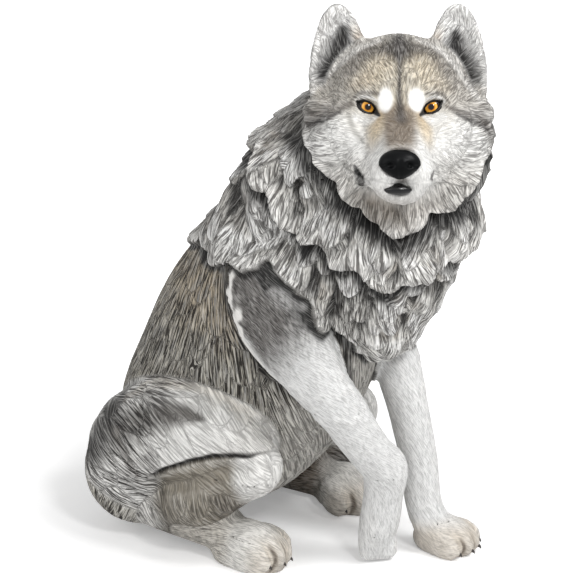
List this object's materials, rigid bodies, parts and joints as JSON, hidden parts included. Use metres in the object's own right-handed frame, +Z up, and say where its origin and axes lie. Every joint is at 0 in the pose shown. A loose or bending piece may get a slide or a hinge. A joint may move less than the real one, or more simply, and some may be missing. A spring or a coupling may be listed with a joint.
{
  "type": "wolf figurine",
  "caption": "Painted cast figurine of a seated grey wolf, head turned to its right, with carved fur and inset amber glass eyes.",
  "frame": {"origin": "centre of the bounding box on the surface that the figurine stands on", "axes": "+Z up; the wolf's body faces -Y, its right side is -X, and its head is turned towards -X and -Y"},
  "size_m": [0.1616, 0.2146, 0.285],
  "materials": {
    "painted_resin": "hand-painted, matte, in greys, browns and off-white",
    "eye_glass": "opaque amber glass, glossy"
  },
  "bodies": {
    "root": {"wolf_body": "painted_resin", "eye_left": "eye_glass", "eye_right": "eye_glass"}
  },
  "joints": []
}
